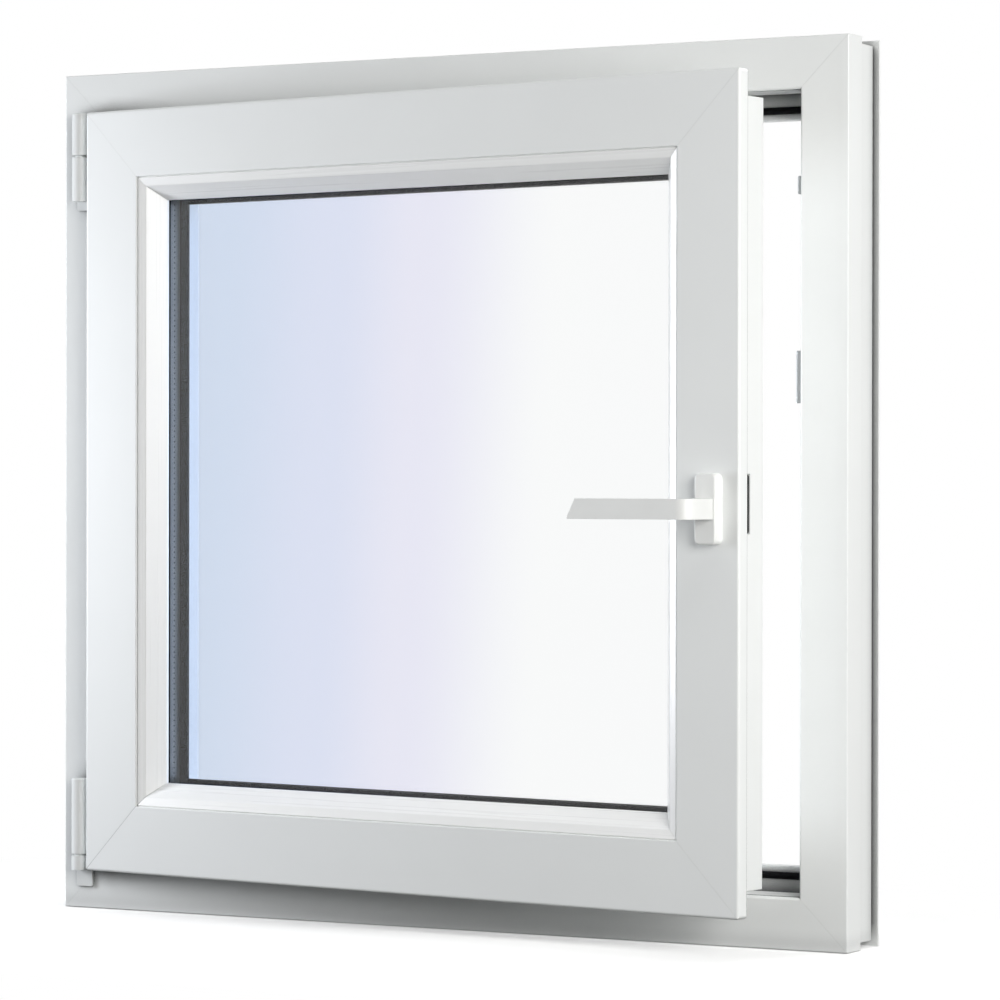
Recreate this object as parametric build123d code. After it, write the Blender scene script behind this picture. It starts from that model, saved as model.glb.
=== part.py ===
from build123d import *
import os

os.makedirs("parts", exist_ok=True)

# Millimetres, +Z up, +Y towards the outside, -Y into the room, +X to the right seen from the room.
# The origin is the middle of the foot on which the sill stands, along the room side.

# Outer frame
window_width = 820
window_height = 800
frame_depth = 70
frame_face_width = 46       # room face, outer edge to the edge of the rebate
frame_leg_tip = 68          # how far the outside leg stands in, from the outer edge
frame_leg_start = 57        # depth at which the outside leg begins
channel_depth = 3           # drainage channel below the rebate floor
foot_depth = 29             # room-side flange round the outside; the sill stands on it
back_flange = 3             # thin flange round the outside at the back
wall_channel_depth = 5      # channel between the two flanges, for wall anchors
anchor_groove_width = 2.6   # narrow groove at the foot of the back flange, for anchor clips
anchor_groove_depth = 3.5
rebate_groove_start = 6.5   # narrow groove in the rebate floor that the striker plates clip into
rebate_groove_width = 4
rebate_groove_depth = 2.5

# Drains in the sill
drain_offset = 230          # middle of the window to the middle of each drain
drain_length = 28
drain_height = 5
drain_low = 18              # underside of the sill to the slot in its outside face
drain_start = 48            # depth at which the slot in the channel floor begins
drain_end = 53
hood_length = 42
hood_height = 16
hood_depth = 5
hood_cheek = 4
hood_wall = 2.5

# Sash
overlap_line = 38           # the closed sash's lip starts this far in from the frame's outer edge
sash_proud = 18             # room face of the closed sash, in front of the frame's room face
sash_depth = 70
lip_width = 20
lip_thickness = 13
corner_radius = 3.5         # outer corners of the sash, cleaned round after welding
rebate_line = 64            # sash lip edge to the glazing rebate floor
sash_leg_tip = 88
sash_leg_start = 52
open_angle = 8              # the sash stands ajar, as in the photo

# Glazing, depths from the sash's room face
inner_pane_front = 25
pane_thickness = 4
pane_gap = 16
pane_edge = 69              # sash lip edge to the glass edge
glazing_seal_edge = 78      # sash lip edge to the outer edge of both glazing seals
spacer_start = 74
spacer_edge = 81.5
bead_tip = 86
bead_step = 0.8             # open groove between sash face and bead
glazing_block_length = 100
glazing_block_offset = 180  # middle of the window to the middle of each glazing block
gasket_slot_width = 4.5
gasket_slot_depth = 4
gasket_root_play = 0.1
gasket_gap = 0.5            # what a seal leaves to the face it closes on

# Hardware groove round the sash
groove_middle = 26
groove_width = 16
groove_shoulder = 3
groove_slot_width = 12
groove_slot_depth = 12
plate_thickness = 2.5
plate_play = 0.2
plate_inset = 50            # sash corner to the end of a faceplate
cam_radius = 5
cam_proud = 6
cam_stem_radius = 3
cam_slot_length = 46

# Gear case behind the handle
case_length = 104
case_back = 46              # sash lip edge to the blind end of the gear pocket
case_play = 0.3
mouth_length = 52           # mouth of the pocket, seen beside the groove
mouth_above_handle = 4
mouth_depth = 9
mouth_end = 48              # depth at which the mouth ends

# Striker plates on the lock jamb
striker_height = 5.2
striker_start = 3           # room face to the near edge of the plates
striker_width = 13
main_striker_length = 46
main_striker_above_handle = 115
top_striker_length = 16
top_striker_height = 4
top_striker_below_sash_top = 92
striker_to_cam = 20         # end of a striker plate to the cam, with the handle level

# Hinges
hinge_inset = 24            # hinge line, from the frame's outer edge
hinge_proud = 10            # hinge line, in front of the frame's room face
knuckle_radius = 8
collar_radius = 5
pin_radius = 3
pin_play = 0.05
bearing_gap = 0.3           # knuckle to the collar that carries it
leaf_depth = 4.5
knuckle_above_corner = 15   # bottom edge of the sash to the lower knuckle
lower_knuckle_length = 72
upper_knuckle_length = 40   # the upper knuckle ends level with the sash's top edge
lower_base_height = 13.5
upper_base_height = 42
shadow_gap = 2.2            # open gap round the collar, between base and knuckle

# Handle
handle_height = 387
handle_inset = 28           # spindle line, from the sash's lip edge
rosette_width = 22
rosette_height = 61
rosette_depth = 11
lever_reach = 118           # spindle line to the tip
lever_height = 17.6
lever_proud = 50
spindle_size = 7
spindle_clear_radius = 5.1
spindle_in_lever = 30
boss_radius = 7.8

frame_face_y = -foot_depth / 2
frame_back_y = frame_face_y + frame_depth
sash_face_y = frame_face_y - sash_proud
hinge_x = -window_width / 2 + hinge_inset
hinge_y = frame_face_y - hinge_proud
hinge_line = Axis((hinge_x, hinge_y, 0), (0, 0, 1))

sides = ("top", "bottom", "left", "right")
frame_rect = (-window_width / 2, window_width / 2, 0, window_height)
sash_rect = (
    -window_width / 2 + overlap_line,
    window_width / 2 - overlap_line,
    overlap_line,
    window_height - overlap_line,
)


# Save one node: a single solid, or several that do not touch.
def save(name, shape):
    solids = shape.solids()
    whole = solids[0] if len(solids) == 1 else Compound(children=list(solids))
    export_step(whole, f"parts/{name}.step")


# A section from corners (in, deep) or (in, deep, radius).
def section(corners):
    face = Sketch() + make_face(Polyline(*[corner[:2] for corner in corners], close=True))
    for corner in corners:
        if len(corner) == 3:
            vertex = face.vertices().sort_by_distance((corner[0], corner[1], 0))[0]
            face = fillet(vertex, corner[2])
    return face


# The 45 degree region of one side of a rectangle, right through in Y.
def mitre_block(side, rect):
    left, right, bottom, top = rect
    reach = 120
    corners = {
        "top": [(left, top), (right, top), (right - reach, top - reach), (left + reach, top - reach)],
        "bottom": [
            (left, bottom),
            (right, bottom),
            (right - reach, bottom + reach),
            (left + reach, bottom + reach),
        ],
        "left": [(left, bottom), (left, top), (left + reach, top - reach), (left + reach, bottom + reach)],
        "right": [
            (right, bottom),
            (right, top),
            (right - reach, top - reach),
            (right - reach, bottom + reach),
        ],
    }[side]
    face = Plane.XZ * make_face(Polyline(*corners, close=True))
    return extrude(face, 200, both=True)


# One straight bar of a rectangle with mitred ends, from a section (in, deep).
def member(profile, side, rect, face_y):
    left, right, bottom, top = rect
    start, inward, along, length = {
        "top": ((left, face_y, top), (0, 0, -1), (1, 0, 0), right - left),
        "bottom": ((right, face_y, bottom), (0, 0, 1), (-1, 0, 0), right - left),
        "left": ((left, face_y, bottom), (1, 0, 0), (0, 0, 1), top - bottom),
        "right": ((right, face_y, top), (-1, 0, 0), (0, 0, -1), top - bottom),
    }[side]
    bar = extrude(Plane(origin=start, x_dir=inward, z_dir=along) * profile, length)
    return bar & mitre_block(side, rect)


# All four bars of a rectangle as one piece.
def ring(profile, rect, face_y):
    bars = [member(profile, side, rect, face_y) for side in sides]
    whole = bars[0] + bars[1] + bars[2] + bars[3]
    return whole.clean()


# A box from its low and high corners.
def block(low, high):
    size = [high[i] - low[i] for i in range(3)]
    middle = [(high[i] + low[i]) / 2 for i in range(3)]
    return Pos(*middle) * Box(*size)


# An upright cylinder between two heights.
def upright(x, y, low, high, radius):
    return Pos(x, y, (low + high) / 2) * Cylinder(radius, high - low)


# A cylinder along Y between two depths.
def rod_y(x, z, low, high, radius):
    return Pos(x, (low + high) / 2, z) * Rot(90, 0, 0) * Cylinder(radius, high - low)


# Frame section: room face, rebate floor, drainage channel, outside leg with its seal slot.
seal_slot_in = 57
seal_slot_end = seal_slot_in + gasket_slot_width
seal_slot_back = frame_leg_start + gasket_slot_depth
rebate_groove_end = rebate_groove_start + rebate_groove_width
anchor_groove_end = frame_depth - back_flange
frame_section = section([
    (0, 0, 1),
    (frame_face_width, 0, 2.5),
    (frame_face_width, rebate_groove_start),
    (frame_face_width - rebate_groove_depth, rebate_groove_start),
    (frame_face_width - rebate_groove_depth, rebate_groove_end),
    (frame_face_width, rebate_groove_end),
    (frame_face_width, 42),
    (frame_face_width - channel_depth, 45),
    (frame_face_width - channel_depth, frame_leg_start),
    (seal_slot_in, frame_leg_start),
    (seal_slot_in, seal_slot_back),
    (seal_slot_end, seal_slot_back),
    (seal_slot_end, frame_leg_start),
    (frame_leg_tip, frame_leg_start, 1.5),
    (frame_leg_tip, frame_depth, 2),
    (0, frame_depth, 0.8),
    (0, anchor_groove_end),
    (wall_channel_depth + anchor_groove_depth, anchor_groove_end),
    (wall_channel_depth + anchor_groove_depth, anchor_groove_end - anchor_groove_width),
    (wall_channel_depth, anchor_groove_end - anchor_groove_width),
    (wall_channel_depth, foot_depth, 0.8),
    (0, foot_depth),
])

frame_head = member(frame_section, "top", frame_rect, frame_face_y)
frame_sill = member(frame_section, "bottom", frame_rect, frame_face_y)
frame_hinge_jamb = member(frame_section, "left", frame_rect, frame_face_y)
frame_lock_jamb = member(frame_section, "right", frame_rect, frame_face_y)

# Drain slots: inside through the channel floor, outside through the sill's face, covered by caps.
hood_low = drain_low - hood_cheek
caps = Part()
for x in (-drain_offset, drain_offset):
    frame_sill -= block(
        (x - drain_length / 2, frame_face_y + drain_start, drain_low),
        (x + drain_length / 2, frame_face_y + drain_end, frame_face_width),
    )
    frame_sill -= block(
        (x - drain_length / 2, frame_face_y + drain_start, drain_low),
        (x + drain_length / 2, frame_back_y + 1, drain_low + drain_height),
    )
    hood = block(
        (x - hood_length / 2, frame_back_y, hood_low),
        (x + hood_length / 2, frame_back_y + hood_depth, hood_low + hood_height),
    )
    hood = chamfer(hood.faces().sort_by(Axis.Y)[-1].edges(), 2.5)
    hood -= block(
        (x - hood_length / 2 + hood_cheek, frame_back_y - 1, hood_low - 1),
        (x + hood_length / 2 - hood_cheek, frame_back_y + hood_wall, hood_low + hood_height - hood_cheek),
    )
    caps += hood

# The frame's seal: a root in the leg's slot and a bulb that stops short of the closed sash.
frame_seal_tip = sash_depth - sash_proud + gasket_gap
frame_seal = ring(
    section([
        (seal_slot_in + gasket_root_play, seal_slot_back - gasket_root_play),
        (seal_slot_in + gasket_root_play, frame_leg_start),
        (seal_slot_in - 0.8, frame_leg_start),
        (seal_slot_in - 0.8, frame_leg_start - 1.5, 0.6),
        (seal_slot_in + 1.6, frame_seal_tip, 1),
        (seal_slot_in + 5.4, frame_seal_tip, 1.2),
        (seal_slot_in + 5.4, frame_leg_start),
        (seal_slot_end - gasket_root_play, frame_leg_start),
        (seal_slot_end - gasket_root_play, seal_slot_back - gasket_root_play),
    ]),
    frame_rect,
    frame_face_y,
)

# Striker plates on the rebate floor of the lock jamb, each with a rib in the floor's groove.
jamb_floor_x = window_width / 2 - frame_face_width
main_striker_middle = handle_height + main_striker_above_handle
top_striker_middle = sash_rect[3] - top_striker_below_sash_top
striker_rows = (
    (main_striker_middle, main_striker_length, striker_height),
    (top_striker_middle, top_striker_length, top_striker_height),
)
strikers = Part()
for middle, length, proud in striker_rows:
    plate = block(
        (jamb_floor_x - proud, frame_face_y + striker_start, middle - length / 2),
        (jamb_floor_x, frame_face_y + striker_start + striker_width, middle + length / 2),
    )
    plate = chamfer(plate.faces().sort_by(Axis.X)[0].edges(), 1.2)
    rib = block(
        (jamb_floor_x, frame_face_y + rebate_groove_start + plate_play, middle - length / 2),
        (
            jamb_floor_x + rebate_groove_depth - plate_play,
            frame_face_y + rebate_groove_end - plate_play,
            middle + length / 2,
        ),
    )
    strikers += plate + rib

# Heights along the hinge line.
lower_knuckle_low = sash_rect[2] + knuckle_above_corner
lower_base_high = lower_knuckle_low - shadow_gap
upper_knuckle_low = sash_rect[3] - upper_knuckle_length
upper_base_high = upper_knuckle_low - shadow_gap
pin_seat = 8                # length of a pin inside its base
pin_rise = 30               # length of a pin inside its knuckle
foot_thickness = 2.5
foot_half_width = 9


# A base on the frame's face: barrel, web, foot plate, and the collar that carries the knuckle above.
def bearing(high, height, foot_height):
    low = high - height
    body = upright(hinge_x, hinge_y, low, high, knuckle_radius)
    body += block((hinge_x - knuckle_radius, hinge_y, low), (hinge_x + knuckle_radius, frame_face_y, high))
    body += upright(hinge_x, hinge_y, high, high + shadow_gap - bearing_gap, collar_radius)
    foot = block(
        (hinge_x - foot_half_width, frame_face_y - foot_thickness, high - foot_height),
        (hinge_x + foot_half_width, frame_face_y, high),
    )
    foot = fillet(foot.edges().filter_by(Axis.Y), 2)
    bore = upright(hinge_x, hinge_y, high - pin_seat, high + shadow_gap, pin_radius)
    return body + foot - bore


def hinge_pin(base_high):
    return upright(hinge_x, hinge_y, base_high - pin_seat, base_high + shadow_gap + pin_rise, pin_radius)


# A knuckle on the sash, with the leaf that joins it to the edge of the lip.
def knuckle(low, length):
    tube = upright(hinge_x, hinge_y, low, low + length, knuckle_radius)
    tube = fillet(tube.faces().sort_by(Axis.Z)[-1].edges(), 1.5)
    leaf = block(
        (hinge_x, sash_face_y + lip_thickness - leaf_depth, low + 4),
        (sash_rect[0], sash_face_y + lip_thickness - 0.8, low + length - 4),
    )
    bore = upright(hinge_x, hinge_y, low, low + pin_rise + 2, pin_radius + pin_play)
    return tube + leaf - bore


corner_bearing = bearing(lower_base_high, lower_base_height, 30)
corner_pin = hinge_pin(lower_base_high)
corner_knuckle = knuckle(lower_knuckle_low, lower_knuckle_length)
stay_bearing = bearing(upper_base_high, upper_base_height, upper_base_height + 8)
stay_pin = hinge_pin(upper_base_high)
stay_knuckle = knuckle(upper_knuckle_low, upper_knuckle_length)

# Sash section: face, glazing rebate, outside leg, hardware groove, lip with its seal slot.
groove_low = groove_middle - groove_width / 2
groove_high = groove_middle + groove_width / 2
slot_low = groove_middle - groove_slot_width / 2
slot_high = groove_middle + groove_slot_width / 2
lip_slot_in = 2
sash_section = section([
    (0, 0, 2.5),
    (rebate_line, 0, 0.8),
    (rebate_line, sash_leg_start),
    (sash_leg_tip, sash_leg_start, 1.2),
    (sash_leg_tip, sash_depth - 4),
    (sash_leg_tip - 3, sash_depth, 1),
    (lip_width, sash_depth, 3),
    (lip_width, groove_high),
    (lip_width + groove_shoulder, groove_high),
    (lip_width + groove_shoulder, slot_high),
    (lip_width + groove_slot_depth, slot_high),
    (lip_width + groove_slot_depth, slot_low),
    (lip_width + groove_shoulder, slot_low),
    (lip_width + groove_shoulder, groove_low),
    (lip_width, groove_low),
    (lip_width, lip_thickness),
    (lip_slot_in + gasket_slot_width, lip_thickness),
    (lip_slot_in + gasket_slot_width, lip_thickness - gasket_slot_depth),
    (lip_slot_in, lip_thickness - gasket_slot_depth),
    (lip_slot_in, lip_thickness),
    (0, lip_thickness, 0.8),
])


# A sash bar with the outer corners of its mitres rounded.
def sash_bar(side):
    outline = Plane.XZ * Pos(0, (sash_rect[2] + sash_rect[3]) / 2) * RectangleRounded(
        sash_rect[1] - sash_rect[0], sash_rect[3] - sash_rect[2], corner_radius
    )
    return member(sash_section, side, sash_rect, sash_face_y) & extrude(outline, 200, both=True)


sash_top_rail = sash_bar("top")
sash_bottom_rail = sash_bar("bottom")
sash_hinge_stile = sash_bar("left")
sash_lock_stile = sash_bar("right")

# Gear pocket and spindle hole in the lock stile; the pocket's mouth shows beside the groove.
lock_edge_x = sash_rect[1]
spindle_x = lock_edge_x - handle_inset
side_x = lock_edge_x - lip_width
case_low = handle_height - case_length / 2
case_high = handle_height + case_length / 2
sash_lock_stile -= block(
    (lock_edge_x - case_back - case_play, sash_face_y + groove_low, case_low - case_play),
    (side_x - groove_shoulder, sash_face_y + groove_high, case_high + case_play),
)
mouth_middle = handle_height + mouth_above_handle
sash_lock_stile -= block(
    (side_x - mouth_depth, sash_face_y + groove_high - 0.5, mouth_middle - mouth_length / 2),
    (side_x + 1, sash_face_y + mouth_end, mouth_middle + mouth_length / 2),
)
sash_lock_stile -= rod_y(
    spindle_x, handle_height, sash_face_y - 1, sash_face_y + groove_low + 1, spindle_clear_radius + 0.4
)

gear_case = block(
    (lock_edge_x - case_back, sash_face_y + groove_low + case_play, case_low),
    (side_x - groove_shoulder, sash_face_y + groove_high - case_play, case_high),
)
case_bore = (sash_face_y + groove_low - 1, sash_face_y + groove_high + 1)
gear_case -= rod_y(spindle_x, handle_height, *case_bore, spindle_clear_radius)

# Faceplates in the groove of the lock stile and the top rail.
plate_front_y = sash_face_y + groove_low + plate_play
plate_back_y = sash_face_y + groove_high - plate_play
plate_seat_x = side_x - groove_shoulder
plate_seat_z = sash_rect[3] - lip_width - groove_shoulder
gear_faceplate = block(
    (plate_seat_x, plate_front_y, sash_rect[2] + plate_inset),
    (plate_seat_x + plate_thickness, plate_back_y, sash_rect[3] - plate_inset),
)
top_faceplate = block(
    (sash_rect[0] + plate_inset, plate_front_y, plate_seat_z),
    (sash_rect[1] - plate_inset, plate_back_y, plate_seat_z + plate_thickness),
)


# A cylinder along X in the middle of the groove, between two places.
def rod_x(low, high, z, radius):
    middle = Pos((low + high) / 2, sash_face_y + groove_middle, z)
    return middle * Rot(0, 90, 0) * Cylinder(radius, high - low)


# Locking cams in slots of the faceplate, clear of the striker plates while the handle is level.
cam_seat_x = plate_seat_x + plate_thickness
slot_half_width = cam_stem_radius + plate_play
cams = Part()
for middle, length, proud in striker_rows:
    cam_z = middle + length / 2 + striker_to_cam
    slot_high_z = cam_z + cam_stem_radius + plate_play
    gear_faceplate -= block(
        (plate_seat_x, sash_face_y + groove_middle - slot_half_width, slot_high_z - cam_slot_length),
        (cam_seat_x, sash_face_y + groove_middle + slot_half_width, slot_high_z),
    )
    head = rod_x(cam_seat_x, cam_seat_x + cam_proud, cam_z, cam_radius)
    head = fillet(head.faces().sort_by(Axis.X)[-1].edges(), 1)
    cams += head + rod_x(plate_seat_x, cam_seat_x, cam_z, cam_stem_radius)

# The sash's seal, behind the lip.
lip_slot_end = lip_slot_in + gasket_slot_width
lip_seal_front = lip_thickness - gasket_slot_depth + gasket_root_play
lip_seal = ring(
    section([
        (lip_slot_in + gasket_root_play, lip_seal_front),
        (lip_slot_end - gasket_root_play, lip_seal_front),
        (lip_slot_end - gasket_root_play, lip_thickness),
        (lip_slot_end + 0.5, lip_thickness),
        (lip_slot_end - 0.8, sash_proud - gasket_gap, 0.9),
        (lip_slot_in + 1, sash_proud - gasket_gap, 0.9),
        (lip_slot_in - 0.6, lip_thickness),
        (lip_slot_in + gasket_root_play, lip_thickness),
    ]),
    sash_rect,
    sash_face_y,
)

# Glazing beads with an open groove along the sash face.
inner_pane_back = inner_pane_front + pane_thickness
outer_pane_front = inner_pane_back + pane_gap
outer_pane_back = outer_pane_front + pane_thickness
bead_back = inner_pane_front - 3
bead_depth = 2.4
bead_section = section([
    (rebate_line, bead_depth),
    (rebate_line + bead_step, bead_depth),
    (rebate_line + bead_step, 1.2, 0.5),
    (rebate_line + 9, 3.6, 2),
    (bead_tip, 19.5, 1),
    (bead_tip, bead_back),
    (rebate_line, bead_back),
])
beads = {side: member(bead_section, side, sash_rect, sash_face_y) for side in sides}


# A rectangular ring with a plain section between two insets and two depths.
def flat_ring(inset_out, inset_in, front, back):
    return ring(
        section([(inset_out, front), (inset_in, front), (inset_in, back), (inset_out, back)]),
        sash_rect,
        sash_face_y,
    )


inner_glazing_seal = flat_ring(glazing_seal_edge, bead_tip - 0.6, bead_back, inner_pane_front)
outer_glazing_seal = flat_ring(glazing_seal_edge, sash_leg_tip + 0.8, outer_pane_back, sash_leg_start)
spacer_bar = flat_ring(spacer_start, spacer_edge, inner_pane_back, outer_pane_front)
edge_seal = flat_ring(pane_edge, spacer_start, inner_pane_back, outer_pane_front)


# A pane of glass, its front at a depth from the sash's room face.
def pane(front):
    return block(
        (sash_rect[0] + pane_edge, sash_face_y + front, sash_rect[2] + pane_edge),
        (sash_rect[1] - pane_edge, sash_face_y + front + pane_thickness, sash_rect[3] - pane_edge),
    )


glass_inner_pane = pane(inner_pane_front)
glass_outer_pane = pane(outer_pane_front)

# Setting blocks between the glass edge and the rebate floor.
glazing_blocks = Part()
for x in (-glazing_block_offset, glazing_block_offset):
    glazing_blocks += block(
        (x - glazing_block_length / 2, sash_face_y + inner_pane_front, sash_rect[2] + rebate_line),
        (x + glazing_block_length / 2, sash_face_y + outer_pane_back, sash_rect[2] + pane_edge),
    )

# Handle: rosette on the stile, lever with a round boss in the rosette, square spindle.
rosette_front_y = sash_face_y - rosette_depth
rosette = block(
    (spindle_x - rosette_width / 2, rosette_front_y, handle_height - rosette_height / 2),
    (spindle_x + rosette_width / 2, sash_face_y, handle_height + rosette_height / 2),
)
rosette = fillet(rosette.edges().filter_by(Axis.Y), 5)
rosette = fillet(rosette.faces().sort_by(Axis.Y)[0].edges(), 2)
rosette -= rod_y(spindle_x, handle_height, rosette_front_y - 1, sash_face_y - 4, boss_radius + pin_play)
rosette -= rod_y(spindle_x, handle_height, sash_face_y - 5, sash_face_y + 1, spindle_clear_radius)

lever_half = lever_height / 2
lever_plan = section([
    (lever_half, -rosette_depth - 0.5),
    (lever_half, -lever_proud, 13),
    (-lever_reach, -lever_proud + 2, 1),
    (-lever_reach, -lever_proud + 10, 2),
    (-lever_half, -lever_proud + 13, 7),
    (-lever_half, -rosette_depth - 0.5),
])
lever = extrude(Pos(spindle_x, sash_face_y, handle_height) * lever_plan, lever_half, both=True)
tip_cut = Plane.XZ * make_face(Polyline(
    (spindle_x - lever_reach - 1, handle_height - lever_half - 1),
    (spindle_x - lever_reach + 9.5, handle_height + lever_half + 1),
    (spindle_x - lever_reach - 1, handle_height + lever_half + 1),
    close=True,
))
lever -= extrude(tip_cut, 300, both=True)
lever += rod_y(spindle_x, handle_height, rosette_front_y - 2, sash_face_y - 4.3, boss_radius)


# The spindle bar, also used to cut its square seat in the lever.
def spindle_bar(front, back):
    return block(
        (spindle_x - spindle_size / 2, sash_face_y + front, handle_height - spindle_size / 2),
        (spindle_x + spindle_size / 2, sash_face_y + back, handle_height + spindle_size / 2),
    )


handle_spindle = spindle_bar(-spindle_in_lever, groove_high - 2)
handle_lever = lever - handle_spindle

frame_pieces = {
    "frame_head": frame_head,
    "frame_sill": frame_sill,
    "frame_hinge_jamb": frame_hinge_jamb,
    "frame_lock_jamb": frame_lock_jamb,
    "frame_seal": frame_seal,
    "drain_caps": caps,
    "striker_plates": strikers,
    "corner_bearing": corner_bearing,
    "corner_pin": corner_pin,
    "stay_bearing": stay_bearing,
    "stay_pin": stay_pin,
}
sash_pieces = {
    "sash_top_rail": sash_top_rail,
    "sash_bottom_rail": sash_bottom_rail,
    "sash_hinge_stile": sash_hinge_stile,
    "sash_lock_stile": sash_lock_stile,
    "lip_seal": lip_seal,
    "bead_top": beads["top"],
    "bead_bottom": beads["bottom"],
    "bead_hinge_side": beads["left"],
    "bead_lock_side": beads["right"],
    "inner_glazing_seal": inner_glazing_seal,
    "outer_glazing_seal": outer_glazing_seal,
    "glass_inner_pane": glass_inner_pane,
    "glass_outer_pane": glass_outer_pane,
    "spacer_bar": spacer_bar,
    "edge_seal": edge_seal,
    "glazing_blocks": glazing_blocks,
    "gear_faceplate": gear_faceplate,
    "top_faceplate": top_faceplate,
    "locking_cams": cams,
    "gear_case": gear_case,
    "corner_knuckle": corner_knuckle,
    "stay_knuckle": stay_knuckle,
    "handle_rosette": rosette,
    "handle_lever": handle_lever,
    "handle_spindle": handle_spindle,
}
for name, piece in frame_pieces.items():
    save(name, piece)

# The sash and all it carries are drawn closed, then swung open about the hinge line.
for name, piece in sash_pieces.items():
    save(name, piece.rotate(hinge_line, -open_angle))
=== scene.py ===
import bmesh
import bpy
import math
from mathutils import Matrix, Vector


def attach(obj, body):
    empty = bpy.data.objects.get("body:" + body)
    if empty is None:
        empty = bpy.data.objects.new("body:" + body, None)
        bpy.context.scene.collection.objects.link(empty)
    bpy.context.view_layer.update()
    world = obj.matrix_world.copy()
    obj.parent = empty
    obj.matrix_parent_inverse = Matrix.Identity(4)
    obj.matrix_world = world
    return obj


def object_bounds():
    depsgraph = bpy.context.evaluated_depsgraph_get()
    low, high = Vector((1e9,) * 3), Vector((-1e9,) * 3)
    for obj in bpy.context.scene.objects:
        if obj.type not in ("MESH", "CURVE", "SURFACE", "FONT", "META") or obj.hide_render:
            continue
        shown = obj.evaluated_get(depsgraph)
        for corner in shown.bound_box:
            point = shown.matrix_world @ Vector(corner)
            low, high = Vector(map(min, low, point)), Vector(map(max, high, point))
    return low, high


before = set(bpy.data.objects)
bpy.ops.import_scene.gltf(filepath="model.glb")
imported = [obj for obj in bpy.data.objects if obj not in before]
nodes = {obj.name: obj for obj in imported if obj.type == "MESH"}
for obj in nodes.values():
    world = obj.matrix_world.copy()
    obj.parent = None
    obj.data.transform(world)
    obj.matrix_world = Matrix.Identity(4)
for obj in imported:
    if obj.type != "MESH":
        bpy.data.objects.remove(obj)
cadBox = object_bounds()
white = (1, 1, 1, 1)
print("stage: frame loaded")

# Room view of the window: place and angles of the camera, from the outline in the photo.
cameraValues = {
    "place": (1.8375, -3.2903, 0.4105),
    "yaw": 28.40,
    "pitch": -0.264,
    "roll": 0.081,
    "lens": 147.5,
    "sensor": 36.0,
    "clipEnd": 100,
}

# The sash as it closes: its hinge line, its lip and its room face, and how far it stands open.
sashValues = {
    "hinge": (-0.386, -0.0245),
    "openAngle": 8.0,
    "lipEdge": 0.372,
    "bottom": 0.038,
    "top": 0.762,
    "faceY": -0.0325,
}


def linearValue(part):
    part = part / 255
    return part / 12.92 if part <= 0.04045 else ((part + 0.055) / 1.055) ** 2.4


def hexColour(text):
    return tuple(linearValue(int(text[i:i + 2], 16)) for i in (0, 2, 4)) + (1.0,)


# Add one node: attributes, input values and links in one place.
def addNode(tree, kind, attributes=None, inputs=None, links=None):
    node = tree.nodes.new(kind)
    for name, value in (attributes or {}).items():
        setattr(node, name, value)
    for name, value in (inputs or {}).items():
        node.inputs[name].default_value = value
    for name, socket in (links or {}).items():
        tree.links.new(socket, node.inputs[name])
    return node


# One sum on numbers or sockets; returns the result's socket.
def reckon(tree, operation, *parts, clamp=False):
    node = addNode(tree, "ShaderNodeMath", {"operation": operation, "use_clamp": clamp})
    for index, part in enumerate(parts):
        if isinstance(part, (int, float)):
            node.inputs[index].default_value = part
        else:
            tree.links.new(part, node.inputs[index])
    return node.outputs[0]


def newMaterial(name):
    material = bpy.data.materials.new(name)
    material.use_nodes = True
    tree = material.node_tree
    tree.nodes.clear()
    return material, tree


def makeCamera(values):
    yaw, pitch, roll = (math.radians(values[name]) for name in ("yaw", "pitch", "roll"))
    forward = Vector((
        -math.sin(yaw) * math.cos(pitch),
        math.cos(yaw) * math.cos(pitch),
        math.sin(pitch),
    ))
    level = Vector((math.cos(yaw), math.sin(yaw), 0))
    upright = level.cross(forward)
    right = level * math.cos(roll) + upright * math.sin(roll)
    up = right.cross(forward)
    data = bpy.data.cameras.new("camera")
    data.lens = values["lens"]
    data.sensor_width = values["sensor"]
    data.clip_end = values["clipEnd"]
    camera = bpy.data.objects.new("camera", data)
    bpy.context.scene.collection.objects.link(camera)
    turn = Matrix((right, up, -forward)).transposed().to_4x4()
    camera.matrix_world = Matrix.Translation(values["place"]) @ turn
    bpy.context.scene.camera = camera


makeCamera(cameraValues)
print("stage: camera placed")

# Soft studio: a panel on each side at about the window's height, one in front on the right, one above and
# one behind. The strip lights the sash's outer leg, which shows through the glass at the hinge side.
lightValues = {
    "roomColour": "ffffff",
    "roomStrength": 0.05,
    "frontMirror": 0.12,        # how much of the white backdrop gloss and glass mirror from the room side
    "mirrorTurn": 0.25,         # how far round to the back that share grows to all of it
    "panels": {
        "leftPanel": {
            "place": (-1.7, -0.6, 0.5), "aim": (-0.2, -0.05, 0.4), "size": (0.45, 0.8),
            "power": 24.0, "colour": "f6f9ff", "hidden": False,
        },
        "rightPanel": {
            "place": (1.5, -0.5, 0.5), "aim": (0.35, 0, 0.4), "size": (0.6, 0.9),
            "power": 5.6, "colour": "ffffff", "hidden": False,
        },
        "rightFrontPanel": {
            "place": (2.2, -1.8, 0.9), "aim": (0.3, 0, 0.4), "size": (1.2, 1.2),
            "power": 43.0, "colour": "fffefc", "hidden": False,
        },
        "topPanel": {
            "place": (0.3, -0.9, 3.2), "aim": (0, 0, 0.4), "size": (3.0, 3.0),
            "power": 27.0, "colour": "ffffff", "hidden": False,
        },
        "backPanel": {
            "place": (1.4, 2.4, 2.9), "aim": (0, 0, 0.4), "size": (2.6, 2.2),
            "power": 45.0, "colour": "ffffff", "hidden": False,
        },
        "outsideStrip": {
            "place": (0.22, 0.38, 0.4), "aim": (-0.4, 0.03, 0.4), "size": (0.12, 0.8),
            "power": 5.2, "colour": "fffdfa", "hidden": True,
        },
    },
}


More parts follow.
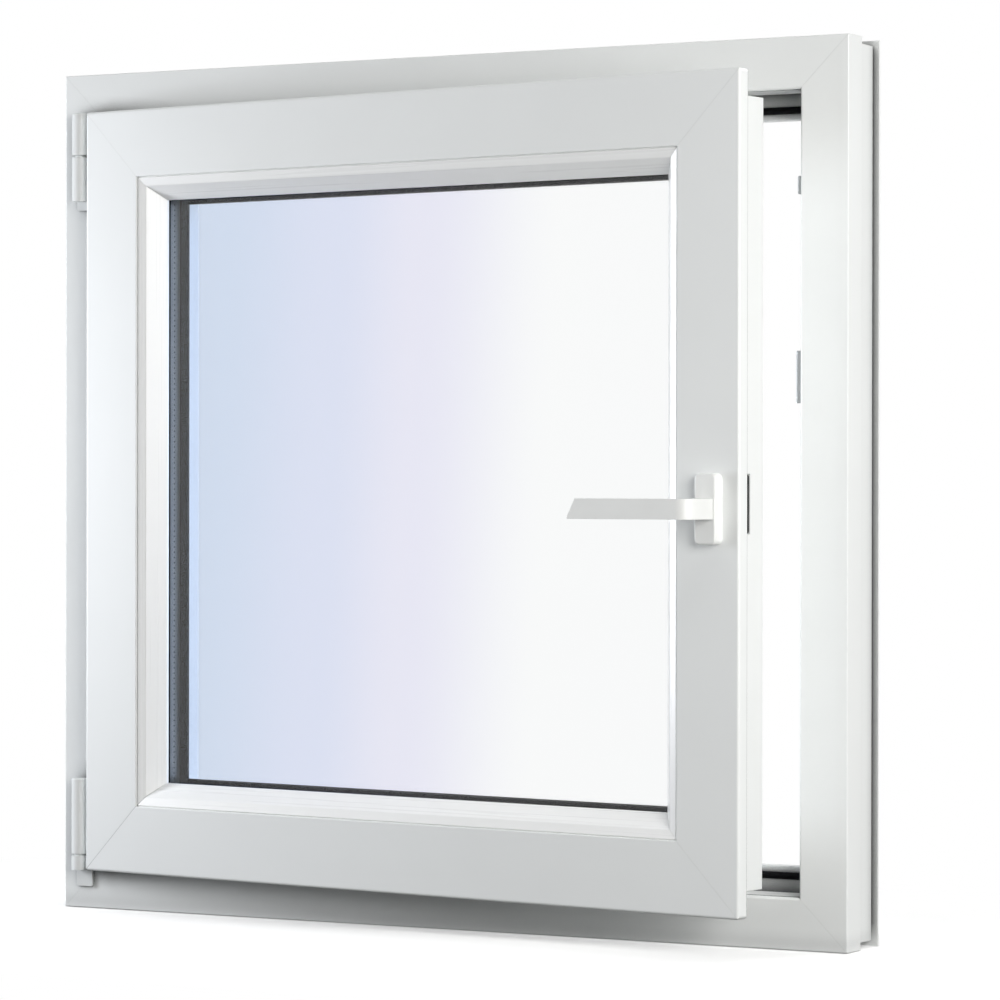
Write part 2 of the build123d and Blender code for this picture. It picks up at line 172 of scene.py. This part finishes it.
# The world: dim for the light it gives, white where it is seen straight or through glass.
def makeWorld(values):
    world = bpy.data.worlds.new("studioRoom")
    bpy.context.scene.world = world
    world.use_nodes = True
    tree = world.node_tree
    tree.nodes.clear()
    room = addNode(tree, "ShaderNodeBackground", inputs={
        "Color": hexColour(values["roomColour"]), "Strength": values["roomStrength"]})
    backdrop = addNode(tree, "ShaderNodeBackground", inputs={"Color": white, "Strength": 1.0})
    path = addNode(tree, "ShaderNodeLightPath")
    straight = reckon(tree, "MAXIMUM", path.outputs["Is Camera Ray"], path.outputs["Is Transmission Ray"])
    heading = addNode(tree, "ShaderNodeTexCoord").outputs["Generated"]
    side = addNode(tree, "ShaderNodeSeparateXYZ", links={0: heading})
    behind = addNode(tree, "ShaderNodeMapRange", inputs={
        "From Min": -values["mirrorTurn"], "From Max": values["mirrorTurn"],
        "To Min": values["frontMirror"], "To Max": 1.0}, links={"Value": side.outputs["Y"]})
    mirrored = reckon(tree, "MULTIPLY", path.outputs["Is Glossy Ray"], behind.outputs[0])
    seen = reckon(tree, "MAXIMUM", straight, mirrored)
    mix = addNode(tree, "ShaderNodeMixShader", links={0: seen, 1: room.outputs[0], 2: backdrop.outputs[0]})
    addNode(tree, "ShaderNodeOutputWorld", links={"Surface": mix.outputs[0]})


def makePanel(name, panel):
    data = bpy.data.lights.new(name, "AREA")
    data.shape = "RECTANGLE"
    data.size, data.size_y = panel["size"]
    data.energy = panel["power"]
    data.color = hexColour(panel["colour"])[:3]
    lamp = bpy.data.objects.new(name, data)
    if panel["hidden"]:
        lamp.visible_camera = False
        lamp.visible_glossy = False
        lamp.visible_transmission = False
    bpy.context.scene.collection.objects.link(lamp)
    place = Vector(panel["place"])
    lamp.location = place
    lamp.rotation_euler = (Vector(panel["aim"]) - place).to_track_quat("-Z", "Y").to_euler()


makeWorld(lightValues)
for panelName, panel in lightValues["panels"].items():
    makePanel(panelName, panel)
bpy.context.scene.view_settings.view_transform = "Standard"
print("stage: lights placed")

# Studio floor, pale paint: near the window it holds the shadow, further off it is as white as the backdrop.
floorValues = {
    "half": 9.0,
    "drop": 0.0005,             # below the frame's underside
    "colour": "f4f4f3",
    "bounceColour": "7c7c7b",   # what the floor sends back on to the window
    "lift": 0.35,
    "roughness": 0.8,
    "speckle": 0.01,
    "speckleScale": 6.0,
    "footDepth": 0.06,          # half the depth that the window takes up
    "whiteStart": 0.03,
    "whiteEnd": 0.45,
}


# Floor paint, roller marks: a faint mottle, and a glow that keeps it near white.
def floorPaint(tree, values, place):
    mottle = addNode(tree, "ShaderNodeTexNoise", inputs={
        "Scale": values["speckleScale"], "Detail": 4.0}, links={"Vector": place})
    base = hexColour(values["colour"])
    dark = tuple(part * (1 - values["speckle"]) for part in base[:3]) + (1.0,)
    tone = addNode(tree, "ShaderNodeMix", {"data_type": "RGBA"}, {6: base, 7: dark}, {
        0: mottle.outputs["Fac"]})
    return addNode(tree, "ShaderNodeBsdfPrincipled", inputs={
        "Roughness": values["roughness"], "Emission Color": white,
        "Emission Strength": values["lift"]}, links={"Base Color": tone.outputs[2]})


# How far a point of the floor is from the window's foot.
def awayFromFoot(tree, values, along):
    beside = reckon(tree, "SUBTRACT", reckon(tree, "ABSOLUTE", along.outputs[0]), cadBox[1][0])
    before = reckon(tree, "SUBTRACT", reckon(tree, "ABSOLUTE", along.outputs[1]), values["footDepth"])
    squares = [reckon(tree, "POWER", reckon(tree, "MAXIMUM", side, 0.0), 2.0) for side in (beside, before)]
    return reckon(tree, "SQRT", reckon(tree, "ADD", *squares))


def makeFloor(values, frontMirror):
    half = values["half"]
    corners = [(-half, -half, 0), (half, -half, 0), (half, half, 0), (-half, half, 0)]
    mesh = bpy.data.meshes.new("floor")
    mesh.from_pydata(corners, [], [(0, 1, 2, 3)])
    floor = bpy.data.objects.new("floor", mesh)
    floor.location.z = -values["drop"]
    bpy.context.scene.collection.objects.link(floor)
    material, tree = newMaterial("floor, rolled matt emulsion")
    place = addNode(tree, "ShaderNodeTexCoord").outputs["Object"]
    along = addNode(tree, "ShaderNodeSeparateXYZ", links={0: place})
    paint = floorPaint(tree, values, place)
    glow = addNode(tree, "ShaderNodeEmission", inputs={"Color": white, "Strength": 1.0})
    fade = addNode(tree, "ShaderNodeMapRange", {"interpolation_type": "SMOOTHSTEP"}, {
        "From Min": values["whiteStart"], "From Max": values["whiteEnd"]}, {
        "Value": awayFromFoot(tree, values, along)})
    near = addNode(tree, "ShaderNodeMixShader", links={
        0: fade.outputs[0], 1: paint.outputs[0], 2: glow.outputs[0]})
    path = addNode(tree, "ShaderNodeLightPath")
    camera, glossy = path.outputs["Is Camera Ray"], path.outputs["Is Glossy Ray"]
    through = path.outputs["Is Transmission Ray"]
    # Gloss and glass mirror the floor of the room side as dimly as the room itself.
    mirror = reckon(tree, "SUBTRACT", glossy, through, clamp=True)
    inRoom = reckon(tree, "LESS_THAN", along.outputs[1], 0.0)
    dim = addNode(tree, "ShaderNodeEmission", inputs={"Color": white, "Strength": frontMirror})
    met = addNode(tree, "ShaderNodeMixShader", links={
        0: reckon(tree, "MULTIPLY", mirror, inRoom), 1: near.outputs[0], 2: dim.outputs[0]})
    bounce = addNode(tree, "ShaderNodeBsdfDiffuse", inputs={"Color": hexColour(values["bounceColour"])})
    seen = reckon(tree, "MAXIMUM", reckon(tree, "MAXIMUM", camera, glossy), through)
    surface = addNode(tree, "ShaderNodeMixShader", links={
        0: seen, 1: bounce.outputs[0], 2: met.outputs[0]})
    addNode(tree, "ShaderNodeOutputMaterial", links={"Surface": surface.outputs[0]})
    mesh.materials.append(material)


makeFloor(floorValues, lightValues["frontMirror"])
print("stage: floor laid")


# Place in the closed window: sash pieces are turned back about the hinge line first.
def closedPlace(tree, onSash):
    place = addNode(tree, "ShaderNodeTexCoord").outputs["Object"]
    if not onSash:
        return place
    hinge = sashValues["hinge"]
    turn = addNode(tree, "ShaderNodeVectorRotate", {"rotation_type": "Z_AXIS"}, {
        "Center": (hinge[0], hinge[1], 0.0), "Angle": math.radians(sashValues["openAngle"])}, {
        "Vector": place})
    return turn.outputs[0]


# One on the 45 degree lines through the corners of a rectangle, fading to zero at the given width.
def mitreMask(tree, place, halfWidth, bottom, top, width):
    parts = addNode(tree, "ShaderNodeSeparateXYZ", links={0: place})
    fromSide = reckon(tree, "SUBTRACT", halfWidth, reckon(tree, "ABSOLUTE", parts.outputs["X"]))
    fromCentre = reckon(tree, "SUBTRACT", parts.outputs["Z"], (bottom + top) / 2)
    fromEnd = reckon(tree, "SUBTRACT", (top - bottom) / 2, reckon(tree, "ABSOLUTE", fromCentre))
    away = reckon(tree, "ABSOLUTE", reckon(tree, "SUBTRACT", fromSide, fromEnd))
    return reckon(tree, "SUBTRACT", 1.0, reckon(tree, "DIVIDE", away, width), clamp=True)


# Window profile, extruded uPVC: brilliant white, satin gloss, die lines drawn out along each bar.
# The corners are butt-welded and cleaned, which leaves a hairline at 45 degrees, clearest at the lower hinge.
# Die lines are a fraction of a millimetre apart in life; here 4 mm, so that they show.
upvcValues = {
    "colour": "f4f6f5",
    "shade": "eef0ef",
    "roughness": 0.34,
    "roughnessSpread": 0.04,
    "ior": 1.54,
    "dieLineScale": 260.0,
    "dieLineStretch": 0.01,
    "dieLineHeight": 0.00002,
    "bumpStrength": 0.6,
    "mottleScale": 9.0,
    "weldWidth": 0.0009,
    "weldColour": "a9aba8",
    "weldFaint": 0.12,
    "weldStrong": 0.75,
    "weldReach": 0.13,          # how far from the lower hinge corner the weld is clear
    "weldFade": 0.8,            # share of that reach at which it starts to fade
    "weldDepth": 4.0,           # in heights of a die line
    "edgeRadius": 0.0006,
    "paintedShadeReach": 0.02,        # how near another face has to be for the painted shade to fall
    "paintedShadeFull": 0.42,         # openness at which the crease is darkest
    "paintedShadeNone": 0.92,         # openness at which there is no painted shade
    "paintedShadeTone": 0.1,
    "paintedShadeLow": 0.02,          # height above the floor at which the painted shade counts in full
}

# Glazing beads: the same uPVC, extruded thinner, painted lighter than the bars for the light they catch, and
# glossier.
paintedLightBeadValues = {**upvcValues, "colour": "fdfdfc", "shade": "f8f9f7", "roughness": 0.28}


# How clearly the weld shows: strong near the lower hinge corner of the sash, faint elsewhere.
def weldMask(tree, values, place, onSash):
    width, faint = values["weldWidth"], values["weldFaint"]
    if not onSash:
        mask = mitreMask(tree, place, cadBox[1][0], 0.0, cadBox[1][2], width)
        return reckon(tree, "MULTIPLY", mask, faint)
    halfWidth, bottom = sashValues["lipEdge"], sashValues["bottom"]
    mask = mitreMask(tree, place, halfWidth, bottom, sashValues["top"], width)
    corner = addNode(tree, "ShaderNodeVectorMath", {"operation": "DISTANCE"}, {
        1: (-halfWidth, sashValues["faceY"], bottom)}, {0: place})
    strength = addNode(tree, "ShaderNodeMapRange", {"interpolation_type": "SMOOTHSTEP"}, {
        "From Min": values["weldReach"] * values["weldFade"], "From Max": values["weldReach"],
        "To Min": values["weldStrong"], "To Max": faint}, {"Value": corner.outputs["Value"]})
    return reckon(tree, "MULTIPLY", mask, strength.outputs[0])


# The colour with painted shade: darker where another face comes near, as in a crease between parts.
def paintedShadeColour(tree, values, place, colour):
    nearness = addNode(tree, "ShaderNodeAmbientOcclusion", {"samples": 8}, {
        "Distance": values["paintedShadeReach"]})
    crease = addNode(tree, "ShaderNodeMapRange", inputs={
        "From Min": values["paintedShadeFull"], "From Max": values["paintedShadeNone"],
        "To Min": values["paintedShadeTone"], "To Max": 1.0}, links={"Value": nearness.outputs["AO"]})
    height = addNode(tree, "ShaderNodeSeparateXYZ", links={0: place}).outputs["Z"]
    offFloor = addNode(tree, "ShaderNodeMapRange", inputs={"From Max": values["paintedShadeLow"]}, links={
        "Value": height})
    # How much painted shade falls here.
    paintedShade = reckon(tree, "SUBTRACT", 1.0, crease.outputs[0])
    loss = reckon(tree, "MULTIPLY", paintedShade, offFloor.outputs[0])
    shaded = addNode(tree, "ShaderNodeVectorMath", {"operation": "SCALE"}, links={
        0: colour, "Scale": reckon(tree, "SUBTRACT", 1.0, loss)})
    return shaded.outputs[0]


def makeUpvc(name, values, along, onSash):
    material, tree = newMaterial(name)
    place = closedPlace(tree, onSash)
    weld = weldMask(tree, values, place, onSash)
    stretch = (values["dieLineStretch"], 1, 1) if along == "x" else (1, 1, values["dieLineStretch"])
    drawn = addNode(tree, "ShaderNodeMapping", inputs={"Scale": stretch}, links={"Vector": place})
    lines = addNode(tree, "ShaderNodeTexNoise", inputs={
        "Scale": values["dieLineScale"], "Detail": 3.0}, links={"Vector": drawn.outputs[0]})
    mottle = addNode(tree, "ShaderNodeTexNoise", inputs={
        "Scale": values["mottleScale"], "Detail": 2.0}, links={"Vector": place})
    tone = addNode(tree, "ShaderNodeMix", {"data_type": "RGBA"}, {
        6: hexColour(values["colour"]), 7: hexColour(values["shade"])}, {0: mottle.outputs["Fac"]})
    welded = addNode(tree, "ShaderNodeMix", {"data_type": "RGBA"}, {7: hexColour(values["weldColour"])}, {
        0: weld, 6: tone.outputs[2]})
    colour = welded.outputs[2]
    # On the frame bars the colour carries painted shade where the sash or another face comes near.
    if not onSash:
        colour = paintedShadeColour(tree, values, place, colour)
    rough = addNode(tree, "ShaderNodeMapRange", inputs={
        "To Min": values["roughness"] - values["roughnessSpread"],
        "To Max": values["roughness"] + values["roughnessSpread"]}, links={"Value": lines.outputs["Fac"]})
    sunk = reckon(tree, "MULTIPLY", weld, values["weldDepth"])
    edge = addNode(tree, "ShaderNodeBevel", {"samples": 4}, {"Radius": values["edgeRadius"]})
    bump = addNode(tree, "ShaderNodeBump", inputs={
        "Strength": values["bumpStrength"], "Distance": values["dieLineHeight"]}, links={
        "Height": reckon(tree, "SUBTRACT", lines.outputs["Fac"], sunk), "Normal": edge.outputs[0]})
    surface = addNode(tree, "ShaderNodeBsdfPrincipled", inputs={"IOR": values["ior"]}, links={
        "Base Color": colour, "Roughness": rough.outputs[0], "Normal": bump.outputs[0]})
    addNode(tree, "ShaderNodeOutputMaterial", links={"Surface": surface.outputs[0]})
    return material


# Finishes with a fine even grain. Grain scales come from real sizes: 900 is a grain of about 1 mm.
# Seals, extruded EPDM rubber: near black and dull, with fine drag marks.
sealValues = {
    "colour": "101012", "roughness": 0.75, "ior": 1.52, "specular": 0.12,
    "grainScale": 900.0, "grainHeight": 0.00004,
}

# Edge seal, gunned polysulphide: black, a little glossier than the rubber, lumpy from the gun.
sealantValues = {
    "colour": "121214", "roughness": 0.7, "ior": 1.55, "specular": 0.12,
    "grainScale": 220.0, "grainHeight": 0.0002,
}

# Handle, die-cast zinc with a baked powder coat: white, soft orange peel.
coatValues = {
    "colour": "f6f7f5", "roughness": 0.36, "ior": 1.5, "specular": 0.5,
    "grainScale": 700.0, "grainHeight": 0.00003,
}

# Hinges, die-cast zinc under a matt coat: they read as plain white posts beside the sash.
hingeCoatValues = {
    "colour": "eceeed", "roughness": 0.6, "ior": 1.5, "specular": 0.3,
    "grainScale": 700.0, "grainHeight": 0.00003,
}

# Drain caps, moulded ABS: white, finely spark-eroded.
capValues = {
    "colour": "f2f3f1", "roughness": 0.45, "ior": 1.54, "specular": 0.5,
    "grainScale": 1200.0, "grainHeight": 0.00003,
}

# Gear and strikers, rolled steel with bright zinc plate: cool grey metal with a soft sheen.
zincValues = {
    "colour": "c3c6c9", "roughness": 0.3, "metallic": 1.0,
    "grainScale": 500.0, "grainHeight": 0.00002,
}

# Glazing blocks, moulded polypropylene: mid blue, as packers of one thickness are coloured.
packerValues = {
    "colour": "3a5a8c", "roughness": 0.5, "ior": 1.49, "specular": 0.5,
    "grainScale": 600.0, "grainHeight": 0.00003,
}

# Gear mouth sheet: black and matt, painted shade in the mouth of the gear pocket, so the opening reads as a
# dark slit.
shadeLinerValues = {
    "colour": "0b0b0c", "roughness": 0.7, "ior": 1.53, "specular": 0.5,
    "grainScale": 800.0, "grainHeight": 0.00003,
}

# What all these finishes share.
grainValues = {
    "roughnessSpread": 0.06,
    "bumpStrength": 0.5,
    "broadScale": 25.0,
    "broadDark": 0.92,
    "edgeRadius": 0.0004,
}


def makeGrained(name, values, shared=grainValues):
    material, tree = newMaterial(name)
    place = addNode(tree, "ShaderNodeTexCoord").outputs["Object"]
    grain = addNode(tree, "ShaderNodeTexNoise", inputs={
        "Scale": values["grainScale"], "Detail": 4.0}, links={"Vector": place})
    broad = addNode(tree, "ShaderNodeTexNoise", inputs={
        "Scale": shared["broadScale"], "Detail": 2.0}, links={"Vector": place})
    base = hexColour(values["colour"])
    dark = tuple(part * shared["broadDark"] for part in base[:3]) + (1.0,)
    tone = addNode(tree, "ShaderNodeMix", {"data_type": "RGBA"}, {6: base, 7: dark}, {
        0: broad.outputs["Fac"]})
    rough = addNode(tree, "ShaderNodeMapRange", inputs={
        "To Min": values["roughness"] - shared["roughnessSpread"],
        "To Max": values["roughness"] + shared["roughnessSpread"]}, links={"Value": grain.outputs["Fac"]})
    edge = addNode(tree, "ShaderNodeBevel", {"samples": 4}, {"Radius": shared["edgeRadius"]})
    bump = addNode(tree, "ShaderNodeBump", inputs={
        "Strength": shared["bumpStrength"], "Distance": values["grainHeight"]}, links={
        "Height": grain.outputs["Fac"], "Normal": edge.outputs[0]})
    surface = addNode(tree, "ShaderNodeBsdfPrincipled", links={
        "Base Color": tone.outputs[2], "Roughness": rough.outputs[0], "Normal": bump.outputs[0]})
    if "metallic" in values:
        surface.inputs["Metallic"].default_value = values["metallic"]
    else:
        surface.inputs["IOR"].default_value = values["ior"]
        surface.inputs["Specular IOR Level"].default_value = values["specular"]
    addNode(tree, "ShaderNodeOutputMaterial", links={"Surface": surface.outputs[0]})
    return material


# Spacer bar, roll-formed aluminium: satin grey, with a row of breather holes for the drying beads.
# The holes are about 0.5 mm in life; here 1.4 mm every 5 mm, so that they show.
spacerValues = {
    "colour": "9a9da0",
    "holeColour": "2a2b2d",
    "roughness": 0.38,
    "roughnessSpread": 0.05,
    "rollScale": 400.0,
    "holePitch": 0.005,
    "holeHalf": 0.0007,
    "middleY": 0.0045,
}


def makeSpacer(name, values):
    material, tree = newMaterial(name)
    place = closedPlace(tree, True)
    parts = addNode(tree, "ShaderNodeSeparateXYZ", links={0: place})
    masks = []
    for axis in ("X", "Z"):
        step = reckon(tree, "FRACT", reckon(tree, "DIVIDE", parts.outputs[axis], values["holePitch"]))
        share = reckon(tree, "ABSOLUTE", reckon(tree, "SUBTRACT", step, 0.5))
        off = reckon(tree, "MULTIPLY", share, values["holePitch"])
        masks.append(reckon(tree, "LESS_THAN", off, values["holeHalf"]))
    across = reckon(tree, "ABSOLUTE", reckon(tree, "SUBTRACT", parts.outputs["Y"], values["middleY"]))
    row = reckon(tree, "LESS_THAN", across, values["holeHalf"])
    hole = reckon(tree, "MULTIPLY", row, reckon(tree, "MAXIMUM", masks[0], masks[1]))
    tone = addNode(tree, "ShaderNodeMix", {"data_type": "RGBA"}, {
        6: hexColour(values["colour"]), 7: hexColour(values["holeColour"])}, {0: hole})
    rolled = addNode(tree, "ShaderNodeTexNoise", inputs={
        "Scale": values["rollScale"], "Detail": 3.0}, links={"Vector": place})
    rough = addNode(tree, "ShaderNodeMapRange", inputs={
        "To Min": values["roughness"] - values["roughnessSpread"],
        "To Max": values["roughness"] + values["roughnessSpread"]}, links={"Value": rolled.outputs["Fac"]})
    surface = addNode(tree, "ShaderNodeBsdfPrincipled", inputs={"Metallic": 1.0}, links={
        "Base Color": tone.outputs[2], "Roughness": rough.outputs[0]})
    addNode(tree, "ShaderNodeOutputMaterial", links={"Surface": surface.outputs[0]})
    return material


# Panes, float glass: the inner one clear, the outer one tinted with a painted reflection that is pale blue at
# the hinge side, goes through lavender and is clear at the handle side.
innerGlassValues = {
    "tones": [(0.0, "fcfdfd"), (1.0, "fdfefe")],
    "fadeStart": -0.30,
    "fadeEnd": 0.18,
    "slant": 0.06,
    "ior": 1.52,
}
outerGlassPaintedReflectionValues = {
    "tones": [(0.0, "d3dff3"), (0.35, "dfe4f7"), (0.6, "ecebf9"), (1.0, "ffffff")],
    "fadeStart": -0.28,
    "fadeEnd": 0.12,
    "slant": 0.06,
    "ior": 1.52,
}


def makeGlass(name, values):
    material, tree = newMaterial(name)
    place = closedPlace(tree, True)
    parts = addNode(tree, "ShaderNodeSeparateXYZ", links={0: place})
    lean = reckon(tree, "MULTIPLY", parts.outputs["Z"], values["slant"])
    # The tint fades across the pane and leans with height. On the outer pane it is a painted reflection.
    fade = addNode(tree, "ShaderNodeMapRange", inputs={
        "From Min": values["fadeStart"], "From Max": values["fadeEnd"]}, links={
        "Value": reckon(tree, "SUBTRACT", parts.outputs["X"], lean)})
    tone = addNode(tree, "ShaderNodeValToRGB", links={0: fade.outputs[0]})
    ramp = tone.color_ramp
    ramp.interpolation = "EASE"
    for index, (position, colour) in enumerate(values["tones"]):
        stop = ramp.elements[index] if index < 2 else ramp.elements.new(position)
        stop.position = position
        stop.color = hexColour(colour)
    surface = addNode(tree, "ShaderNodeBsdfPrincipled", inputs={
        "Transmission Weight": 1.0, "Roughness": 0.0, "IOR": values["ior"]}, links={
        "Base Color": tone.outputs[0]})
    # Light for the pieces behind goes straight through, so the glass casts no hard shadow.
    through = addNode(tree, "ShaderNodeBsdfTransparent", links={"Color": tone.outputs[0]})
    path = addNode(tree, "ShaderNodeLightPath")
    soft = reckon(tree, "MAXIMUM", path.outputs["Is Shadow Ray"], path.outputs["Is Diffuse Ray"])
    mix = addNode(tree, "ShaderNodeMixShader", links={0: soft, 1: surface.outputs[0], 2: through.outputs[0]})
    addNode(tree, "ShaderNodeOutputMaterial", links={"Surface": mix.outputs[0]})
    return material


# Put a material on CAD pieces, which keep their own shape and place.
def dress(material, *names):
    for name in names:
        data = nodes[name].data
        data.materials.clear()
        data.materials.append(material)


zinc = makeGrained("gear and strikers, zinc-plated steel", zincValues)
dress(makeUpvc("frame bars across, extruded uPVC", upvcValues, "x", False), "frame_head", "frame_sill")
dress(makeUpvc("frame bars upright, extruded uPVC", upvcValues, "z", False),
      "frame_hinge_jamb", "frame_lock_jamb")
dress(makeUpvc("sash bars across, extruded uPVC", upvcValues, "x", True),
      "sash_top_rail", "sash_bottom_rail")
dress(makeUpvc("sash bars upright, extruded uPVC", upvcValues, "z", True),
      "sash_hinge_stile", "sash_lock_stile")
dress(makeUpvc("beads across, uPVC painted lighter", paintedLightBeadValues, "x", True), "bead_top", "bead_bottom")
dress(makeUpvc("beads upright, uPVC painted lighter", paintedLightBeadValues, "z", True),
      "bead_hinge_side", "bead_lock_side")
dress(makeGrained("seals, extruded rubber", sealValues),
      "frame_seal", "lip_seal", "inner_glazing_seal", "outer_glazing_seal")
dress(makeGrained("edge seal, gunned polysulphide", sealantValues), "edge_seal")
dress(makeGrained("handle, powder-coated zinc", coatValues), "handle_rosette", "handle_lever")
dress(makeGrained("hinges, matt-coated zinc", hingeCoatValues),
      "corner_bearing", "stay_bearing", "corner_knuckle", "stay_knuckle")
dress(makeGrained("drain caps, moulded plastic", capValues), "drain_caps")
dress(zinc, "striker_plates", "corner_pin", "stay_pin", "gear_faceplate", "top_faceplate",
      "locking_cams", "gear_case", "handle_spindle")
dress(makeGrained("glazing blocks, moulded polypropylene", packerValues), "glazing_blocks")
dress(makeSpacer("spacer, roll-formed aluminium", spacerValues), "spacer_bar")
dress(makeGlass("inner pane, float glass", innerGlassValues), "glass_inner_pane")
dress(makeGlass("outer pane, float glass with painted reflection", outerGlassPaintedReflectionValues), "glass_outer_pane")
print("stage: materials set")

# Screws of the hardware: raised countersunk heads with a cross recess.
screwValues = {
    "radius": 0.0029,
    "dome": 0.0009,
    "domeFlatness": 2.6,        # higher is flatter in the middle
    "skirt": 0.0006,
    "skirtTaper": 0.96,
    "crossArm": 0.0017,
    "crossHalf": 0.00038,
    "crossDepth": 0.0008,
    "rings": 12,
    "spokes": 48,
}


# Height of the head at a place on it: domed, and pushed in where the cross is.
def screwHeight(values, x, y, share):
    height = values["dome"] * (1 - share ** values["domeFlatness"])
    inCross = max(abs(x), abs(y)) < values["crossArm"] and min(abs(x), abs(y)) < values["crossHalf"]
    return height - values["crossDepth"] if inCross else height


# A head as a closed turned form.
def makeScrewMesh(name, values):
    form = bmesh.new()
    loops = []
    rings, spokes = values["rings"], values["spokes"]
    for ring in range(1, rings + 1):
        share = ring / rings
        radius = values["radius"] * share
        loop = []
        for spoke in range(spokes):
            angle = 2 * math.pi * spoke / spokes
            x, y = radius * math.cos(angle), radius * math.sin(angle)
            loop.append(form.verts.new((x, y, screwHeight(values, x, y, share))))
        loops.append(loop)
    taper, skirt = values["skirtTaper"], -values["skirt"]
    loops.append([form.verts.new((v.co.x * taper, v.co.y * taper, skirt)) for v in loops[-1]])
    centre = form.verts.new((0, 0, values["dome"] - values["crossDepth"]))
    for spoke in range(spokes):
        after = (spoke + 1) % spokes
        form.faces.new((centre, loops[0][spoke], loops[0][after]))
        for inner, outer in zip(loops, loops[1:]):
            form.faces.new((inner[spoke], outer[spoke], outer[after], inner[after]))
    form.faces.new(list(reversed(loops[-1])))
    mesh = bpy.data.meshes.new(name)
    form.to_mesh(mesh)
    form.free()
    for face in mesh.polygons:
        face.use_smooth = len(face.vertices) < spokes
    return mesh


# Turn of the open sash, as a matrix that takes closed places to where they stand.
hingePlace = Vector((sashValues["hinge"][0], sashValues["hinge"][1], 0))
openTurn = (Matrix.Translation(hingePlace)
            @ Matrix.Rotation(math.radians(-sashValues["openAngle"]), 4, "Z")
            @ Matrix.Translation(-hingePlace))


# Stand a mesh in the closed window with its top facing outward, then swing it with its body.
def placePiece(name, mesh, place, outward, spin, body, material):
    piece = bpy.data.objects.new(name, mesh)
    bpy.context.scene.collection.objects.link(piece)
    stand = Vector(outward).to_track_quat("Z", "Y").to_matrix().to_4x4()
    matrix = Matrix.Translation(place) @ stand @ Matrix.Rotation(math.radians(spin), 4, "Z")
    piece.matrix_world = openTurn @ matrix if body == "sash" else matrix
    if not mesh.materials:
        mesh.materials.append(material)
    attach(piece, body)
    return piece


# Rows of screws. For each one: place in the closed window and turn of its cross in degrees.
plateDepth = -0.0065
gearPlateX = 0.3515
topPlateZ = 0.7415
strikerDepth = -0.005
lowStrikerX = 0.3588
highStrikerX = 0.3600
screwRows = {
    "gear_screw": {"body": "sash", "outward": (1, 0, 0), "screws": [
        ((gearPlateX, plateDepth, 0.105), 12),
        ((gearPlateX, plateDepth, 0.235), 51),
        ((gearPlateX, plateDepth, 0.470), 33),
        ((gearPlateX, plateDepth, 0.600), 74),
    ]},
    "top_screw": {"body": "sash", "outward": (0, 0, 1), "screws": [
        ((-0.300, plateDepth, topPlateZ), 20),
        ((-0.100, plateDepth, topPlateZ), 65),
        ((0.100, plateDepth, topPlateZ), 41),
        ((0.300, plateDepth, topPlateZ), 8),
    ]},
    "striker_screw": {"body": "frame", "outward": (-1, 0, 0), "screws": [
        ((lowStrikerX, strikerDepth, 0.4865), 27),
        ((lowStrikerX, strikerDepth, 0.5175), 58),
        ((highStrikerX, strikerDepth, 0.6700), 15),
    ]},
}


def makeScrews(values, rows):
    mesh = makeScrewMesh("screw", values)
    for rowName, row in rows.items():
        for number, (place, spin) in enumerate(row["screws"], 1):
            name = f"{rowName}_{number}"
            piece = placePiece(name, mesh, place, row["outward"], spin, row["body"], zinc)


makeScrews(screwValues, screwRows)
print("stage: screws set")

# Black sheet in the mouth of the gear pocket, painted shade: a shallow tray with a rolled rim.
mouthValues = {
    "place": (0.3434, 0.0082, 0.391),
    "half": (0.0066, 0.0254),
    "depth": 0.0082,
    "wall": 0.0009,
    "corner": 0.0022,
    "cornerSteps": 5,
}


# Points of a rectangle with round corners, anticlockwise.
def roundedRectangle(halfAcross, halfUp, radius, steps):
    points = []
    corners = [(1, -1, -90), (1, 1, 0), (-1, 1, 90), (-1, -1, 180)]
    for sideAcross, sideUp, start in corners:
        for step in range(steps + 1):
            angle = math.radians(start + 90 * step / steps)
            points.append((
                sideAcross * (halfAcross - radius) + radius * math.cos(angle),
                sideUp * (halfUp - radius) + radius * math.sin(angle),
            ))
    return points


# The tray's outline, pulled in by the given amount.
def trayOutline(values, inset):
    halfAcross, halfUp = values["half"]
    radius = values["corner"] - inset
    return roundedRectangle(halfAcross - inset, halfUp - inset, radius, values["cornerSteps"])


def makeShadeLiner(values):
    wall, depth = values["wall"], values["depth"]
    outer, rim, opening = (trayOutline(values, inset) for inset in (0, wall / 2, wall))
    shoulder = depth - wall / 2
    levels = [(outer, 0.0), (outer, shoulder), (rim, depth), (opening, shoulder), (opening, wall)]
    form = bmesh.new()
    loops = [[form.verts.new((x, y, z)) for x, y in points] for points, z in levels]
    count = len(outer)
    for lower, upper in zip(loops, loops[1:]):
        for i in range(count):
            after = (i + 1) % count
            form.faces.new((lower[i], lower[after], upper[after], upper[i]))
    form.faces.new(list(reversed(loops[0])))
    form.faces.new(loops[-1])
    mesh = bpy.data.meshes.new("gear_mouth_shade_sheet")
    form.to_mesh(mesh)
    form.free()
    # The tray is black: painted shade in the pocket's mouth.
    shadeSheet = makeGrained("gear mouth painted shade, black sheet", shadeLinerValues)
    piece = placePiece("gear_mouth_shade_sheet", mesh, values["place"], (1, 0, 0), 0, "sash", shadeSheet)


makeShadeLiner(mouthValues)
print("stage: mouth liner set")
